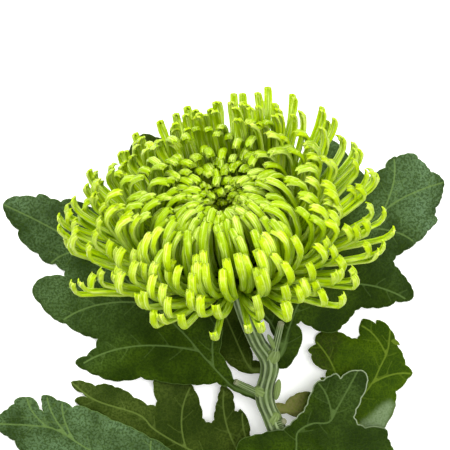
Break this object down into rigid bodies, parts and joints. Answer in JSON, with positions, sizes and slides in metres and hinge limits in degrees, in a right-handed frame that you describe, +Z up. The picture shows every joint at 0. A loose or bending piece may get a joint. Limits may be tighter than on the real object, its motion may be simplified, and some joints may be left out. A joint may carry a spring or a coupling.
{
  "type": "spider chrysanthemum cut flower",
  "caption": "Green spider chrysanthemum cut from its plant, lying on its lobed leaves with the shaggy head raised and leaning back; a prop for a table, tray or flower stall",
  "frame": {"origin": "On the surface that the flower lies on, under the middle of its bounding box", "axes": "+Z up from the surface; +Y from the cut end of the stem towards the flower head; +X to the right when looking down on it with the head at the top"},
  "size_m": [0.163, 0.2321, 0.0996],
  "materials": {
    "petal": "satin yellow-green petals, paler along the ridges and darker in the grooves and at the heart",
    "bract": "matt mid-green bracts with paler thin edges",
    "stem": "semi-matt grey-green with pale ribs",
    "leaf_dark": "semi-gloss dark green with paler veins and a bluish sheen",
    "leaf_olive": "matt olive green with paler veins",
    "leaf_pale": "bright yellow-green with light showing through, paler veins"
  },
  "bodies": {
    "root": {"bloom": "petal", "involucre": "bract", "stem": "stem", "leaf_left": "leaf_dark", "leaf_right": "leaf_dark", "leaf_behind": "leaf_olive", "leaf_lower_left_back": "leaf_olive", "leaf_lower_left_front": "leaf_dark", "leaf_lower_right_front": "leaf_dark", "leaf_right_back": "leaf_pale"}
  },
  "joints": []
}
